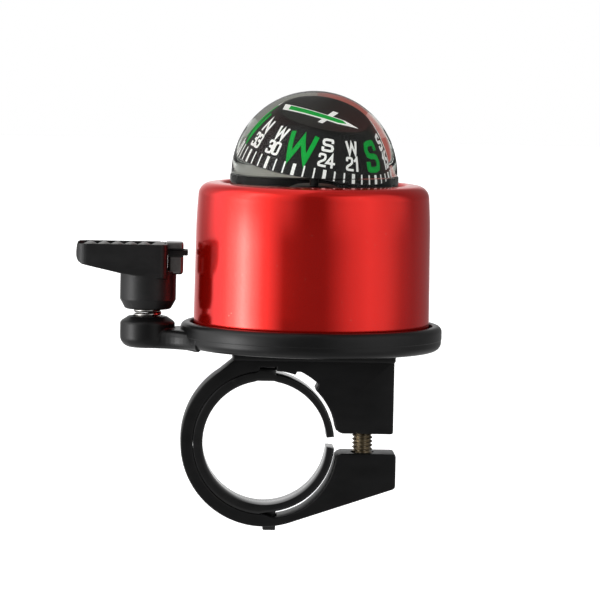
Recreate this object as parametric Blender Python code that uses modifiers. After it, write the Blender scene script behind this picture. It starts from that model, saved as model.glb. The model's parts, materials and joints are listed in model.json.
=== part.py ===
"""Bicycle bell with a liquid compass in its crown, a spring-necked thumb striker and a band clamp.

Frame: +Z up along the bell's axis, Y along the handlebar, +X towards the clamp screw. The origin is the
middle of the flat crown pad at the top of the bar liner's bore. Dimensions below are in millimetres, and
the helpers turn them into metres.
"""

import math

import bmesh
import bpy
from mathutils import Vector

MM = 0.001
GAP = 0.3

# Handlebar clamp
BAR_RADIUS = 11.1
BORE_Z = -BAR_RADIUS
LINER_OUTER = 12.45
BAND_INNER = 12.85
BAND_OUTER = 15.07
BAND_WIDTH = 8.0
CROWN_PAD_HALF = 1.5
LINER_SPLIT = (-11.9, -9.9)
LINER_KEY = (0.4, 1.15, 2.2)
LINER_PEG = (1.1, 1.15, -27.1)
PEG_WIDTH = 3.4
RELIEF_ANGLES = (67.0, 47.0)
RELIEF_RADIUS = 14.2
PILLAR_RIGHT = 22.9
PILLAR_BOTTOM = -9.2
EAR_TOP = -12.8
EAR_CORNER = (23.5, -19.0)
SEAT_X = (-6.1, 23.0)
SEAT_Z = (3.7, 5.5)
WEB_LEFT = -4.9
SEAT_HALF_DEPTH = 6.0
POST_RADIUS = 3.6
POST_TOP = 26.6
PILOT_RADIUS = 2.0
PILOT_DEPTH = 14.0

# Clamp screw, an M4 with its head in the ear
SCREW_X = 17.6
SCREW_RADIUS = 1.85
SCREW_TOP = -0.6
SCREW_HEAD = (2.9, 2.0)
EAR_SEAT_Z = -16.6
COUNTERBORE_RADIUS = 3.3
NUT_SIDE = 5.6
NUT_Z = (-6.6, -4.2)
WASHER_THICKNESS = 0.5

# Base plate
BELL_X = 8.0
PLATE_BOTTOM = 5.8
PLATE_FLOOR = 8.4
RIM_RADIUS = 23.4
RIM_INNER = 21.7
RIM_TOP = 10.25
SLEEVE_TOP = 27.4
BOSS_X = -21.3
BOSS_RADIUS = 4.9
BOSS_TOP = 11.0
BOSS_BOTTOM = 5.4
ARM_TOP = 8.9
ARM_HALF_WIDTH = 4.2
ARM_FILLET = 8.0
ARM_FILLET_END = 25.0
PLATE_BORE_LIP = (5.4, 5.8, 6.6)

# Striker
NECK_Z = 11.65
SOCKET_RADIUS = 5.0
SOCKET_Z = (12.3, 18.3)
PADDLE_LEFT = -34.2
PADDLE_RIGHT = -17.9
PADDLE_TOP = 24.0
PADDLE_WIDTH = 9.0
RIDGE_PITCH = 2.5
FIRST_VALLEY = -19.95
RIDGE_COUNT = 6
RIDGE_HEIGHT = 0.4
SPRING_RADIUS = 2.12
WIRE_RADIUS = 0.33
SPRING_PITCH = 0.84
SPRING_Z = (8.3, 15.0)
STUD_RADIUS = 1.4
NECK_POCKET = 2.8
SLUG_X = (-17.6, -15.1)
SLUG_Z = (18.6, 24.3)
SLUG_DEPTH = 4.6
PIN_Z = 22.5
PIN_HALF = 0.5
PIN_REACH = 0.8
PRONG_SPAN = (1.0, 2.0)

# Bell cup
CUP_RADIUS = 20.95
CUP_FLARE = 0.15
CUP_WALL = 1.0
CUP_BOTTOM = 9.4
SHOULDER_RADIUS = 2.3
CREST_Z = 35.3
RECESS_RADIUS = 16.0
RECESS_FLOOR = 29.5
FLOOR_WALL = 0.9
BEAD_RADIUS = 1.1
CENTRE_HOLE = 2.2
CUP_WASHER = (2.1, 5.2, 4.2)
CENTRE_SCREW = (1.7, 3.4, 1.4)
CENTRE_SCREW_TIP = 14.6

# Compass capsule
DOME_RADIUS = 14.85
DOME_INNER = 12.9
DOME_Z = 36.9
CAPSULE_RADIUS = 15.05
CAPSULE_BOTTOM = 30.7
CAPSULE_FLOOR = 31.9
CAPSULE_TOP = 34.3
CAPSULE_WALL_INNER = 14.0
SEAL_SEAT = 32.3
SEAL_RADIUS = 0.5
SPIGOT = (12.6, 13.6, 33.9)
PAD_RADII = (7.5, 14.0)
FILL_HOLE = (9.0, 1.2, 0.9)
HUB_TOP = 34.6
PIVOT_Z = 37.5
CARD_SKIRT = (9.8, 36.9)
CARD_CROWN = (6.2, 44.5)
CARD_BULGE = 0.45
CARD_WALL = 0.7
CARD_TUBE = (1.5, 2.3)
CARD_TILT = math.radians(10.5)
CARD_TURN = math.radians(-20.5)


def clear_scene():
    for obj in list(bpy.data.objects):
        bpy.data.objects.remove(obj, do_unlink=True)


def new_collection(name):
    collection = bpy.data.collections.new(name)
    bpy.context.scene.collection.children.link(collection)
    return collection


def make_material(name, color, roughness, metallic=0.0, alpha=1.0):
    material = bpy.data.materials.new(name)
    material.use_nodes = True
    shader = material.node_tree.nodes["Principled BSDF"]
    shader.inputs["Base Color"].default_value = (*color, 1.0)
    shader.inputs["Roughness"].default_value = roughness
    shader.inputs["Metallic"].default_value = metallic
    shader.inputs["Alpha"].default_value = alpha
    return material


def smooth(mesh):
    mesh.shade_smooth()
    mesh.set_sharp_from_angle(angle=math.radians(35))


def add_object(name, mesh, origin, material=None):
    """Links an object whose mesh is already in metres around its origin, given in millimetres."""
    obj = bpy.data.objects.new(name, mesh)
    obj.location = Vector(origin) * MM
    if material:
        mesh.materials.append(material)
        PARTS.objects.link(obj)
    else:
        CUTTERS.objects.link(obj)
        obj.hide_render = True
        obj.display_type = "WIRE"
    return obj


def arc(centre_x, centre_z, radius, start, end, steps):
    """Points along an arc, with its angles in degrees from +X towards +Z."""
    angles = [math.radians(start + (end - start) * i / steps) for i in range(steps + 1)]
    return [(centre_x + radius * math.cos(a), centre_z + radius * math.sin(a)) for a in angles]


def bowed(start, end, bulge, steps):
    """Points along a shallow curve between two points, bowed to the left of its direction by bulge."""
    chord = Vector(end) - Vector(start)
    left = Vector((-chord.y, chord.x)).normalized()
    parts = [i / steps for i in range(steps + 1)]
    return [tuple(Vector(start) + chord * t + left * (4 * bulge * t * (1 - t))) for t in parts]


def turned(name, profile, origin, material=None, steps=32, closed=True):
    """Turns a profile of (radius, z) points about the vertical axis through origin."""
    mesh = bpy.data.meshes.new(name)
    points = [(r * MM, 0.0, (z - origin[2]) * MM) for r, z in profile]
    count = len(points)
    edges = [(i, (i + 1) % count) for i in range(count if closed else count - 1)]
    mesh.from_pydata(points, edges, [])
    obj = add_object(name, mesh, origin, material)
    screw = obj.modifiers.new("turn", "SCREW")
    screw.steps = steps
    screw.render_steps = steps
    screw.use_merge_vertices = True
    screw.merge_threshold = 0.000001
    screw.use_smooth_shade = material is not None
    return obj


def ring(name, inner, outer, bottom, top, origin, material=None, steps=24):
    """A washer, tube or disc; an inner radius of 0 makes it solid."""
    if inner > 0:
        profile = [(inner, top), (outer, top), (outer, bottom), (inner, bottom)]
        return turned(name, profile, origin, material, steps)
    profile = [(0, top), (outer, top), (outer, bottom), (0, bottom)]
    return turned(name, profile, origin, material, steps, closed=False)


def flat_piece(name, outline, half_width, origin, material=None, lying=False):
    """A plate cut to an outline and centred on origin: (x, z) points, or (x, y) points when it is lying."""
    curve = bpy.data.curves.new(name, "CURVE")
    curve.dimensions = "2D"
    curve.fill_mode = "BOTH"
    curve.extrude = half_width * MM
    spline = curve.splines.new("POLY")
    spline.points.add(len(outline) - 1)
    across = origin[1] if lying else origin[2]
    for point, (x, height) in zip(spline.points, outline):
        point.co = ((x - origin[0]) * MM, (height - across) * MM, 0.0, 1.0)
    spline.use_cyclic_u = True
    guide = bpy.data.objects.new(name + "_outline", curve)
    CUTTERS.objects.link(guide)
    guide.location = Vector(origin) * MM
    guide.rotation_euler = (0.0 if lying else math.pi / 2, 0.0, 0.0)
    bpy.context.view_layer.update()
    mesh = bpy.data.meshes.new_from_object(guide.evaluated_get(bpy.context.evaluated_depsgraph_get()))
    placed = guide.matrix_world.copy()
    bpy.data.objects.remove(guide, do_unlink=True)
    weld = bmesh.new()
    weld.from_mesh(mesh)
    bmesh.ops.remove_doubles(weld, verts=weld.verts, dist=0.000001)
    weld.to_mesh(mesh)
    weld.free()
    if material:
        smooth(mesh)
    obj = add_object(name, mesh, origin, material)
    obj.matrix_world = placed
    return obj


def block(name, low, high, origin=(0, 0, 0), material=None):
    """A box between two corners."""
    mesh = bpy.data.meshes.new(name)
    shape = bmesh.new()
    bmesh.ops.create_cube(shape, size=1.0)
    for vert in shape.verts:
        for axis in range(3):
            middle = (low[axis] + high[axis]) / 2 - origin[axis]
            vert.co[axis] = (middle + vert.co[axis] * (high[axis] - low[axis])) * MM
    shape.to_mesh(mesh)
    shape.free()
    return add_object(name, mesh, origin, material)


def combine(target, tool, operation):
    """Adds a Boolean modifier, EXACT solver, that joins the tool to the target or cuts it away."""
    modifier = target.modifiers.new(tool.name, "BOOLEAN")
    modifier.object = tool
    modifier.operation = operation
    modifier.solver = "EXACT"


def bevel(obj, width, segments=2):
    modifier = obj.modifiers.new("rounded edges", "BEVEL")
    modifier.width = width * MM
    modifier.segments = segments
    modifier.limit_method = "ANGLE"
    modifier.angle_limit = math.radians(40)


def hang_on(empty_name, origin, pieces):
    """Parents the pieces of one moving body to an empty on its joint, without moving them."""
    empty = bpy.data.objects.new(empty_name, None)
    empty.empty_display_size = 0.005
    empty.location = Vector(origin) * MM
    PARTS.objects.link(empty)
    bpy.context.view_layer.update()
    for piece in pieces:
        piece.parent = empty
        piece.matrix_parent_inverse = empty.matrix_world.inverted()
    return empty


# --- Handlebar clamp ---------------------------------------------------------------------------------


def bracket_outline():
    """The C-shaped section: ear, slit, bore with the nut-side relief, pillar, seat and outer band."""
    ear_angle = math.degrees(math.asin((EAR_TOP - BORE_Z) / BAND_INNER))
    pillar_angle = math.degrees(math.asin((PILLAR_BOTTOM - BORE_Z) / BAND_INNER))
    key_x, key_half, key_top = LINER_KEY
    slot = (key_x - key_half - GAP, key_x + key_half + GAP)
    key_angles = [math.degrees(math.acos(x / BAND_INNER)) for x in slot]
    points = arc(0, BORE_Z, BAND_INNER, ear_angle, key_angles[0] - 360, 40)
    points += [(slot[0], key_top + GAP), (slot[1], key_top + GAP)]
    points += arc(0, BORE_Z, BAND_INNER, key_angles[1] - 360, RELIEF_ANGLES[0] - 360, 3)
    points += arc(0, BORE_Z, RELIEF_RADIUS, RELIEF_ANGLES[0] - 361, RELIEF_ANGLES[1] - 359, 4)
    points += arc(0, BORE_Z, BAND_INNER, RELIEF_ANGLES[1] - 360, pillar_angle - 360, 7)
    points += [(PILLAR_RIGHT, PILLAR_BOTTOM), (PILLAR_RIGHT, SEAT_Z[0] + 0.5), (WEB_LEFT, SEAT_Z[0] + 0.5)]
    left = tangent_angle(WEB_LEFT, SEAT_Z[0], 1)
    right = tangent_angle(*EAR_CORNER, -1)
    points += arc(0, BORE_Z, BAND_OUTER, left, right + 360, 28)
    points += [EAR_CORNER, (EAR_CORNER[0], EAR_TOP)]
    return points


def tangent_angle(x, z, side):
    """Angle at which a line from (x, z) touches the band's outer circle."""
    distance = math.hypot(x, z - BORE_Z)
    angle = math.atan2(z - BORE_Z, x)
    return math.degrees(angle + side * math.acos(BAND_OUTER / distance))


def build_bracket(material):
    origin = (0, 0, BORE_Z)
    bracket = flat_piece("clamp_bracket", bracket_outline(), BAND_WIDTH / 2, origin, material)
    low = (SEAT_X[0], -SEAT_HALF_DEPTH, SEAT_Z[0])
    high = (SEAT_X[1], SEAT_HALF_DEPTH, SEAT_Z[1])
    combine(bracket, block("seat", low, high), "UNION")
    post = ring("post", 0, POST_RADIUS, SEAT_Z[1] - 1, POST_TOP, (BELL_X, 0, 0), steps=32)
    combine(bracket, post, "UNION")
    pilot = ring("pilot_hole", 0, PILOT_RADIUS, POST_TOP - PILOT_DEPTH, POST_TOP + 1, (BELL_X, 0, 0))
    combine(bracket, pilot, "DIFFERENCE")
    peg_x, peg_half, peg_bottom = LINER_PEG
    peg_reach = PEG_WIDTH / 2 + GAP
    low = (peg_x - peg_half - GAP, -peg_reach, peg_bottom)
    high = (peg_x + peg_half + GAP, peg_reach, BORE_Z - LINER_OUTER + 1)
    combine(bracket, block("peg_hole", low, high), "DIFFERENCE")
    axis = (SCREW_X, 0, 0)
    shank = ring("shank_hole", 0, SCREW_RADIUS + GAP, EAR_SEAT_Z - 1, SCREW_TOP + 0.8, axis)
    combine(bracket, shank, "DIFFERENCE")
    head = ring("counterbore", 0, COUNTERBORE_RADIUS, EAR_SEAT_Z - 8, EAR_SEAT_Z, axis, steps=32)
    combine(bracket, head, "DIFFERENCE")
    side = NUT_SIDE / 2 + GAP
    low = (SCREW_X - side, -side, NUT_Z[0] - GAP)
    high = (SCREW_X + side, BAND_WIDTH, NUT_Z[1] + GAP)
    combine(bracket, block("nut_slot", low, high), "DIFFERENCE")
    return bracket


def liner_outline():
    """A split ring with a flat crown pad inside and a key that locks it in the bracket."""
    middle = (BAR_RADIUS + LINER_OUTER) / 2
    split = [math.degrees(math.asin((z - BORE_Z) / middle)) for z in LINER_SPLIT]
    key_x, key_half, key_top = LINER_KEY
    pad = math.degrees(math.acos((CROWN_PAD_HALF + 0.6) / BAR_RADIUS))
    outer = [math.degrees(math.acos((key_x + s * key_half) / LINER_OUTER)) for s in (1, -1)]
    points = arc(0, BORE_Z, LINER_OUTER, split[1], outer[0], 14)
    points += [(key_x + key_half, key_top), (key_x - key_half, key_top)]
    points += arc(0, BORE_Z, LINER_OUTER, outer[1], split[0] + 360, 42)
    points += arc(0, BORE_Z, BAR_RADIUS, split[0] + 360, 180 - pad, 42)
    points += [(-CROWN_PAD_HALF, 0), (CROWN_PAD_HALF, 0)]
    points += arc(0, BORE_Z, BAR_RADIUS, pad, split[1], 14)
    return points


def build_liner(material):
    liner = flat_piece("bar_liner", liner_outline(), BAND_WIDTH / 2, (0, 0, BORE_Z), material)
    peg_x, peg_half, peg_bottom = LINER_PEG
    low = (peg_x - peg_half, -PEG_WIDTH / 2, peg_bottom)
    high = (peg_x + peg_half, PEG_WIDTH / 2, BORE_Z - (BAR_RADIUS + LINER_OUTER) / 2)
    combine(liner, block("liner_peg", low, high), "UNION")
    return liner


def build_clamp_screw(screw_material, nut_material, washer_material):
    """The pan-head screw, its washer under the ear and the square nut held in the pillar."""
    washer_top = EAR_SEAT_Z - GAP
    head_top = washer_top - WASHER_THICKNESS - GAP
    head_radius, head_height = SCREW_HEAD
    head_bottom = head_top - head_height
    origin = (SCREW_X, 0, head_top)
    profile = [(0, SCREW_TOP), (SCREW_RADIUS - 0.5, SCREW_TOP), (SCREW_RADIUS, SCREW_TOP - 0.6)]
    profile += [(SCREW_RADIUS, head_top), (head_radius, head_top), (head_radius, head_bottom + 0.6)]
    profile += [(head_radius - 0.6, head_bottom), (0, head_bottom)]
    screw = turned("clamp_screw", profile, origin, screw_material, 24, closed=False)
    arm = 1.6
    for index, size in enumerate([(arm, 0.35), (0.35, arm)]):
        low = (SCREW_X - size[0], -size[1], head_bottom - 1)
        high = (SCREW_X + size[0], size[1], head_bottom + 1.1)
        combine(screw, block(f"drive_slot_{index}", low, high), "DIFFERENCE")
    washer_inner = SCREW_RADIUS + GAP
    washer_bottom = washer_top - WASHER_THICKNESS
    washer = ring("clamp_washer", washer_inner, 3.0, washer_bottom, washer_top, origin, washer_material)
    side = NUT_SIDE / 2
    middle = (SCREW_X, 0, sum(NUT_Z) / 2)
    low = (SCREW_X - side, -side, NUT_Z[0])
    high = (SCREW_X + side, side, NUT_Z[1])
    nut = block("clamp_nut", low, high, middle, nut_material)
    hole = ring("nut_hole", 0, washer_inner, NUT_Z[0] - 1, NUT_Z[1] + 1, (SCREW_X, 0, 0))
    combine(nut, hole, "DIFFERENCE")
    hang_on("clamp_screw_axis", origin, [screw, washer])


# --- Base plate ---------------------------------------------------------------------------------------


def arm_outline():
    """Plan of the striker's arm: straight sides that flare into the plate's rim with a concave fillet."""
    inner = RIM_RADIUS - 0.8
    fillet_y = ARM_HALF_WIDTH + ARM_FILLET
    end = math.radians(ARM_FILLET_END)
    meet = math.degrees(math.asin((fillet_y - ARM_FILLET * math.sin(end)) / inner))
    fillet_x = BELL_X - inner * math.cos(math.radians(meet)) - ARM_FILLET * math.cos(end)
    points = arc(fillet_x, -fillet_y, ARM_FILLET, 90, ARM_FILLET_END, 5)
    points += arc(BELL_X, 0, inner, 180 + meet, 180 - meet, 6)[1:-1]
    points += arc(fillet_x, fillet_y, ARM_FILLET, -ARM_FILLET_END, -90, 5)
    return [(BOSS_X, -ARM_HALF_WIDTH)] + points + [(BOSS_X, ARM_HALF_WIDTH)]


def build_base_plate(material):
    """The dished plate with its rim, the sleeve that carries the cup, and the striker's arm and boss."""
    bore = POST_RADIUS + GAP
    top, waist, foot = PLATE_BORE_LIP
    profile = [(bore, SLEEVE_TOP), (top, SLEEVE_TOP), (waist, PLATE_FLOOR + 0.8), (foot, PLATE_FLOOR)]
    profile += [(RIM_INNER - 0.3, PLATE_FLOOR), (RIM_INNER, PLATE_FLOOR + 0.4)]
    profile += [(RIM_INNER, RIM_TOP - 0.3), (RIM_INNER + 0.3, RIM_TOP), (RIM_RADIUS - 0.6, RIM_TOP - 0.15)]
    profile += [(RIM_RADIUS, RIM_TOP - 0.95), (RIM_RADIUS, PLATE_BOTTOM + 1.2)]
    profile += [(RIM_RADIUS - 0.5, PLATE_BOTTOM + 0.4), (RIM_RADIUS - 1.4, PLATE_BOTTOM)]
    profile += [(bore, PLATE_BOTTOM)]
    plate = turned("base_plate", profile, (BELL_X, 0, 0), material, 48)
    middle = (BOSS_X, 0, (BOSS_BOTTOM + ARM_TOP) / 2)
    arm = flat_piece("arm", arm_outline(), (ARM_TOP - BOSS_BOTTOM) / 2, middle, lying=True)
    combine(plate, arm, "UNION")
    boss = [(0, BOSS_TOP), (3.5, BOSS_TOP), (BOSS_RADIUS, 9.9), (BOSS_RADIUS, 7.4)]
    boss += arc(BOSS_RADIUS - 2.0, BOSS_BOTTOM + 2.0, 2.0, 0, -90, 4)[1:]
    boss += [(0, BOSS_BOTTOM)]
    combine(plate, turned("boss", boss, (BOSS_X, 0, 0), closed=False), "UNION")
    pocket_bottom = SPRING_Z[0] - WIRE_RADIUS - GAP
    pocket = ring("boss_pocket", STUD_RADIUS, NECK_POCKET, pocket_bottom, BOSS_TOP + 1, (BOSS_X, 0, 0))
    combine(plate, pocket, "DIFFERENCE")
    stud_top = ring("stud_clearance", 0, 2.0, BOSS_TOP - 0.4, BOSS_TOP + 1, (BOSS_X, 0, 0))
    combine(plate, stud_top, "DIFFERENCE")
    return plate


# --- Striker ------------------------------------------------------------------------------------------


def paddle_outline():
    """Side view of the thumb piece: rounded nose, sloping underside and a row of scallops on top."""
    points = [(PADDLE_LEFT, 21.2), (PADDLE_LEFT + 0.8, 20.1), (BOSS_X - SOCKET_RADIUS, 18.85)]
    points += [(BOSS_X - SOCKET_RADIUS + 0.6, 17.8), (PADDLE_RIGHT, 17.8), (PADDLE_RIGHT, PADDLE_TOP - 0.3)]
    steps = 5
    valley = PADDLE_TOP - 0.2
    last = (RIDGE_COUNT - 1) * steps
    for i in range(-3, last + 3):
        swell = abs(math.sin(math.pi * i / steps))
        points.append((FIRST_VALLEY - RIDGE_PITCH * i / steps, valley + RIDGE_HEIGHT * swell))
    points.append((PADDLE_LEFT, PADDLE_TOP - 0.9))
    return points


def build_lever(material, pivot):
    lever = flat_piece("striker_lever", paddle_outline(), PADDLE_WIDTH / 2, pivot, material)
    bottom, top = SOCKET_Z
    profile = [(0, top), (SOCKET_RADIUS, top), (SOCKET_RADIUS, bottom + 1.6), (SOCKET_RADIUS - 1.0, bottom)]
    profile += [(0, bottom)]
    combine(lever, turned("socket", profile, pivot, closed=False), "UNION")
    pocket_top = SPRING_Z[1] + WIRE_RADIUS + GAP
    pocket = ring("lever_pocket", STUD_RADIUS, NECK_POCKET, bottom - 1, pocket_top, pivot)
    combine(lever, pocket, "DIFFERENCE")
    relief = ring("lever_stud_end", 0, 2.0, bottom - 1, bottom + 0.5, pivot)
    combine(lever, relief, "DIFFERENCE")
    clear_y = PRONG_SPAN[1] + GAP
    clear_z = PIN_HALF + GAP
    low = (PADDLE_RIGHT - 1.4, -clear_y, PIN_Z - clear_z)
    high = (PADDLE_RIGHT + 1, clear_y, PIN_Z + clear_z)
    combine(lever, block("pin_socket", low, high), "DIFFERENCE")
    return lever


def build_hammer(material, pivot):
    """The steel slug, with a groove in each side for the pin."""
    low = (SLUG_X[0], -SLUG_DEPTH / 2, SLUG_Z[0])
    high = (SLUG_X[1], SLUG_DEPTH / 2, SLUG_Z[1])
    slug = block("striker_hammer", low, high, pivot, material)
    bevel(slug, 0.8, 3)
    for side, name in ((1, "back_groove"), (-1, "front_groove")):
        reach = sorted((side * (PRONG_SPAN[0] - GAP), side * SLUG_DEPTH))
        low = (SLUG_X[0] - 1, reach[0], PIN_Z - PIN_HALF - GAP)
        high = (SLUG_X[1] + 1, reach[1], PIN_Z + PIN_HALF + GAP)
        combine(slug, block(name, low, high), "DIFFERENCE")
    return slug


def build_hammer_pin(material, pivot):
    """The forked pin that meets the cup, its two prongs passing along the slug's grooves into the lever."""
    inner, outer = PRONG_SPAN
    low = (PADDLE_RIGHT - 1.1, -outer, PIN_Z - PIN_HALF)
    high = (SLUG_X[1] + PIN_REACH, outer, PIN_Z + PIN_HALF)
    pin = block("hammer_pin", low, high, pivot, material)
    low = (low[0] - 1, -inner, PIN_Z - 1)
    high = (SLUG_X[1] + GAP, inner, PIN_Z + 1)
    combine(pin, block("pin_opening", low, high), "DIFFERENCE")
    return pin


def build_spring(material, pivot):
    """The coil that is the striker's neck."""
    turns = (SPRING_Z[1] - SPRING_Z[0]) / SPRING_PITCH
    steps = 10
    count = int(turns * steps) + 1
    curve = bpy.data.curves.new("striker_spring", "CURVE")
    curve.dimensions = "3D"
    curve.bevel_depth = WIRE_RADIUS * MM
    curve.bevel_resolution = 2
    curve.use_fill_caps = True
    spline = curve.splines.new("POLY")
    spline.points.add(count - 1)
    for i, point in enumerate(spline.points):
        angle = 2 * math.pi * i / steps
        z = SPRING_Z[0] - pivot[2] + SPRING_PITCH * i / steps
        x, y = SPRING_RADIUS * math.cos(angle), SPRING_RADIUS * math.sin(angle)
        point.co = (x * MM, y * MM, z * MM, 1.0)
    curve.materials.append(material)
    spring = bpy.data.objects.new("striker_spring", curve)
    spring.location = Vector(pivot) * MM
    PARTS.objects.link(spring)
    return spring


# --- Bell cup -----------------------------------------------------------------------------------------


def build_cup(material):
    """The gong: a deep cup, mouth down, whose crown is sunk inside a raised bead."""
    shoulder_z = CREST_Z - 0.1 - SHOULDER_RADIUS
    inner = SHOULDER_RADIUS - CUP_WALL
    middle = CUP_RADIUS - SHOULDER_RADIUS
    bead_x = RECESS_RADIUS + BEAD_RADIUS
    profile = [(CENTRE_HOLE, RECESS_FLOOR), (RECESS_RADIUS - 0.7, RECESS_FLOOR)]
    profile += arc(RECESS_RADIUS - 0.7, RECESS_FLOOR + 0.7, 0.7, -90, 0, 1)[1:]
    profile += arc(bead_x, CREST_Z - BEAD_RADIUS, BEAD_RADIUS, 180, 90, 3)
    profile += [((bead_x + middle) / 2, CREST_Z)]
    profile += arc(middle, shoulder_z, SHOULDER_RADIUS, 90, 0, 4)
    profile += [(CUP_RADIUS + CUP_FLARE, CUP_BOTTOM), (CUP_RADIUS + CUP_FLARE - CUP_WALL, CUP_BOTTOM)]
    profile += arc(middle, shoulder_z, inner, 0, 90, 2)
    wall_x = RECESS_RADIUS + CUP_WALL
    profile += [(wall_x + 0.4, CREST_Z - CUP_WALL), (wall_x, CREST_Z - CUP_WALL - 0.5)]
    profile += [(wall_x, RECESS_FLOOR + 0.2), (wall_x - 1.1, RECESS_FLOOR - FLOOR_WALL)]
    profile += [(CENTRE_HOLE, RECESS_FLOOR - FLOOR_WALL)]
    return turned("bell_cup", profile, (BELL_X, 0, 0), material, 48)


def build_cup_fixing(screw_material, washer_material):
    """The centre screw through the crown, with a resilient washer on each side of the sheet."""
    axis = (BELL_X, 0, 0)
    below = RECESS_FLOOR - FLOOR_WALL
    hole, lower_radius, upper_radius = CUP_WASHER
    ring("cup_washer_lower", hole, lower_radius, SLEEVE_TOP + GAP, below - GAP, axis, washer_material)
    top = RECESS_FLOOR + GAP + 0.6
    ring("cup_washer_upper", hole, upper_radius, RECESS_FLOOR + GAP, top, axis, washer_material)
    shank, head_radius, head_height = CENTRE_SCREW
    head = top + GAP
    tip = CENTRE_SCREW_TIP
    profile = [(0, head + head_height), (head_radius - 1.2, head + head_height)]
    profile += [(head_radius - 0.3, head + head_height - 0.5), (head_radius, head)]
    profile += [(shank, head), (shank, tip + 1), (shank - 1.1, tip), (0, tip)]
    screw = turned("centre_screw", profile, axis, screw_material, 24, closed=False)
    for index, size in enumerate([(1.8, 0.3), (0.3, 1.8)]):
        low = (BELL_X - size[0], -size[1], head + 0.5)
        high = (BELL_X + size[0], size[1], head + 2)
        combine(screw, block(f"centre_slot_{index}", low, high), "DIFFERENCE")


# --- Compass capsule ----------------------------------------------------------------------------------


def build_capsule(base_material, dome_material, rubber_material, pad_material, pin_material):
    """The sealed capsule: pad, floor with the pivot hub, pin, filling plug, O-ring and clear dome."""
    axis = (BELL_X, 0, 0)
    head_pocket = (4.4, CAPSULE_BOTTOM + 1.9)
    profile = [(0, HUB_TOP), (2.6, HUB_TOP), (4.9, HUB_TOP - 0.8), (6.4, CAPSULE_FLOOR)]
    profile += [(12.1, CAPSULE_FLOOR), (12.3, SEAL_SEAT), (CAPSULE_WALL_INNER, SEAL_SEAT)]
    profile += [(CAPSULE_WALL_INNER, CAPSULE_TOP)]
    profile += [(CAPSULE_RADIUS, CAPSULE_TOP), (CAPSULE_RADIUS, CAPSULE_BOTTOM + 0.5)]
    profile += [(CAPSULE_RADIUS - 0.5, CAPSULE_BOTTOM), (head_pocket[0], CAPSULE_BOTTOM), head_pocket]
    profile += [(0, head_pocket[1])]
    base = turned("capsule_base", profile, axis, base_material, 40, closed=False)
    pin_hole = ring("pin_hole", 0, 0.85, HUB_TOP - 1.2, HUB_TOP + 1, axis, steps=16)
    combine(base, pin_hole, "DIFFERENCE")
    offset, hole, plug = FILL_HOLE
    plug_axis = (BELL_X, offset, 0)
    low = CAPSULE_BOTTOM
    high = CAPSULE_FLOOR
    combine(base, ring("fill_hole", 0, hole, low - 1, high + 1, plug_axis, steps=16), "DIFFERENCE")
    ring("fill_plug", 0, plug, low + 0.1, high - 0.1, plug_axis, rubber_material, 16)
    ring("capsule_pad", *PAD_RADII, RECESS_FLOOR + GAP, CAPSULE_BOTTOM - GAP, axis, pad_material, 32)

    tip = PIVOT_Z - 0.3
    pin = [(0, tip), (0.12, tip), (0.5, tip - 1.4), (0.55, tip - 1.6), (0.55, HUB_TOP - 0.9)]
    pin += [(0, HUB_TOP - 0.9)]
    turned("pivot_pin", pin, axis, pin_material, 16, closed=False)

    spigot_inner, spigot_outer, spigot_bottom = SPIGOT
    seal_x = (spigot_inner + spigot_outer) / 2
    seal_z = SEAL_SEAT + GAP + SEAL_RADIUS
    turned("capsule_seal", arc(seal_x, seal_z, SEAL_RADIUS, 90, -270, 6)[:-1], axis, rubber_material, 32)

    dome_foot = CAPSULE_TOP + GAP
    inner_angle = math.degrees(math.acos(spigot_inner / DOME_INNER))
    profile = arc(0, DOME_Z, DOME_RADIUS, 90, 0, 10)
    profile += [(CAPSULE_RADIUS, DOME_Z - 0.2), (CAPSULE_RADIUS, dome_foot), (spigot_outer, dome_foot)]
    profile += [(spigot_outer, spigot_bottom), (spigot_inner, spigot_bottom)]
    profile += arc(0, DOME_Z, DOME_INNER, inner_angle, 90, 7)
    profile[0] = (0, DOME_Z + DOME_RADIUS)
    profile[-1] = (0, DOME_Z + DOME_INNER)
    turned("compass_dome", profile, axis, dome_material, 40, closed=False)


def build_card(card_material, magnet_material, jewel_material):
    """The floating card: a domed skirt hung from its jewel, with a ring magnet round the jewel's tube."""
    pivot = (BELL_X, 0, PIVOT_Z)
    tube_inner, tube_outer = CARD_TUBE
    tube_bottom = PIVOT_Z - 0.9
    tube_top = PIVOT_Z + 1.1
    skirt_inner = (CARD_SKIRT[0] - CARD_WALL, CARD_SKIRT[1])
    crown_inner = (CARD_CROWN[0] - CARD_WALL, CARD_CROWN[1] - CARD_WALL)
    profile = [(0, CARD_CROWN[1])]
    profile += bowed(CARD_CROWN, CARD_SKIRT, CARD_BULGE, 6)
    profile += bowed(skirt_inner, crown_inner, -CARD_BULGE, 4)
    profile += [(tube_outer, crown_inner[1]), (tube_outer, tube_bottom), (tube_inner, tube_bottom)]
    profile += [(tube_inner, tube_top), (0, tube_top)]
    card = turned("compass_card", profile, pivot, card_material, 32, closed=False)
    magnet = ring("card_magnet", 2.6, 5.2, PIVOT_Z - 0.7, PIVOT_Z + 0.8, pivot, magnet_material)
    jewel = [(0, PIVOT_Z + 0.8), (1.2, PIVOT_Z + 0.8), (1.2, PIVOT_Z - 0.9), (0.95, PIVOT_Z - 0.9)]
    jewel += [(0.05, PIVOT_Z), (0, PIVOT_Z)]
    jewel_piece = turned("card_jewel", jewel, pivot, jewel_material, 12, closed=False)
    empty = hang_on("card_pivot", pivot, [card, magnet, jewel_piece])
    empty.rotation_euler = (0.0, CARD_TILT, CARD_TURN)


clear_scene()
PARTS = new_collection("bicycle_bell")
CUTTERS = new_collection("cutters")

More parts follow.
